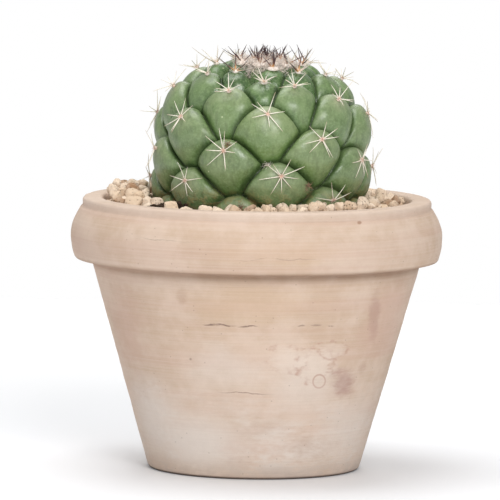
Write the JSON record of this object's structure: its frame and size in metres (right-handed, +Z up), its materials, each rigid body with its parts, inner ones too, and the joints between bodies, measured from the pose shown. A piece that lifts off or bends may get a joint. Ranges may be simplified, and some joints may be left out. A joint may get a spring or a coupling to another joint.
{
  "type": "potted round cactus",
  "caption": "Round cactus with spiralled tubercles, a star of spines on each and a woolly crown, in a turned clay pot with a rolled rim, soil and loose pumice stones.",
  "frame": {"origin": "centre of the pot's foot, on the surface that it stands on", "axes": "+Z up along the pot's axis, the front faces -Y and +X is to its right"},
  "size_m": [0.16, 0.16, 0.1822],
  "materials": {
    "clay": "unglazed, matte, with fine turning lines and pale salt bloom",
    "soil": "damp matte crumbs",
    "pumice": "rough, pitted, matte",
    "skin": "waxy satin skin with a grey bloom",
    "wool": "soft matte felt",
    "spine": "horny, satin, dark at the youngest tips"
  },
  "bodies": {
    "root": {"cactus_body": "skin", "crown_tuft": "wool", "pot": "clay", "pumice_layer": "pumice", "soil": "soil", "spine_cluster_01": "spine", "spine_cluster_02": "spine", "spine_cluster_03": "spine", "spine_cluster_04": "spine", "spine_cluster_05": "spine", "spine_cluster_06": "spine", "spine_cluster_07": "spine", "spine_cluster_08": "spine", "spine_cluster_09": "spine", "spine_cluster_10": "spine", "spine_cluster_11": "spine", "spine_cluster_12": "spine", "spine_cluster_13": "spine", "spine_cluster_14": "spine", "spine_cluster_15": "spine", "spine_cluster_16": "spine", "spine_cluster_17": "spine", "spine_cluster_18": "spine", "spine_cluster_19": "spine", "spine_cluster_20": "spine", "spine_cluster_21": "spine", "spine_cluster_22": "spine", "spine_cluster_23": "spine", "spine_cluster_24": "spine", "spine_cluster_25": "spine", "spine_cluster_26": "spine", "spine_cluster_27": "spine", "spine_cluster_28": "spine", "spine_cluster_29": "spine", "spine_cluster_30": "spine", "spine_cluster_31": "spine", "spine_cluster_32": "spine", "stone_01": "pumice", "stone_02": "pumice", "stone_03": "pumice", "stone_04": "pumice", "stone_05": "pumice", "stone_06": "pumice", "stone_07": "pumice", "stone_08": "pumice", "stone_09": "pumice", "stone_10": "pumice", "stone_11": "pumice", "stone_12": "pumice", "stone_13": "pumice", "stone_14": "pumice", "stone_15": "pumice"}
  },
  "joints": []
}
